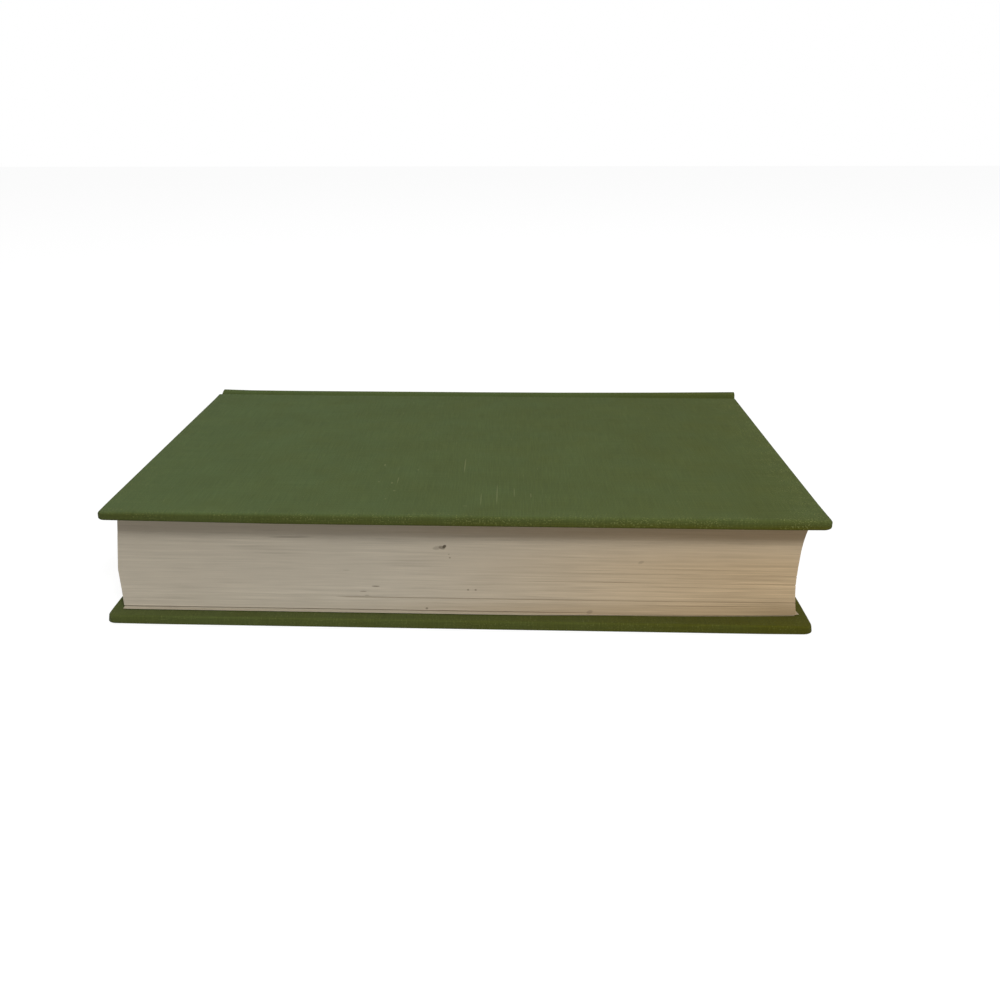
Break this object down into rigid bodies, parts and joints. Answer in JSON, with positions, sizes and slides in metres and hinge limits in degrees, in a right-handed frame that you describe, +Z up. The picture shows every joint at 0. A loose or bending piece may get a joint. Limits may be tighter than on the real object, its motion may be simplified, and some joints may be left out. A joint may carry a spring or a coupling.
{
  "type": "hardback book",
  "caption": "Cloth-covered hardback book lying closed on its back cover, with a rounded spine, grooved joints and covers that open.",
  "frame": {"origin": "middle of the closed book's base, on the surface it lies on", "axes": "+X along the spine, -Y out of the leaves' fore edge, +Y out of the spine, +Z up through the front cover"},
  "size_m": [0.224, 0.1526, 0.0388],
  "materials": {
    "leaves": "matt, cut edge",
    "endpaper": "matt",
    "board": "matt",
    "book_cloth": "plain weave, matt",
    "mull": "open weave",
    "lining_paper": "matt",
    "end_band": "woven"
  },
  "bodies": {
    "book_block": {"text_block": "leaves", "front_flyleaf": "endpaper", "back_flyleaf": "endpaper", "spine_cloth": "book_cloth", "spine_inlay": "board", "spine_mull": "mull", "spine_lining": "lining_paper", "head_band": "end_band", "tail_band": "end_band"},
    "front_cover": {"front_board": "board", "front_cover_cloth": "book_cloth", "front_mull_flap": "mull", "front_pastedown": "endpaper"},
    "back_cover": {"back_board": "board", "back_cover_cloth": "book_cloth", "back_mull_flap": "mull", "back_pastedown": "endpaper"}
  },
  "joints": [
    {"name": "front_joint", "type": "hinge", "parent": "book_block", "child": "front_cover", "pos_m": [0, 0.0707, 0.03658], "axis": [-1, 0, 0], "range_deg": [0, 178]},
    {"name": "back_joint", "type": "hinge", "parent": "book_block", "child": "back_cover", "pos_m": [0, 0.0707, 0.00155], "axis": [1, 0, 0], "range_deg": [0, 178]}
  ]
}
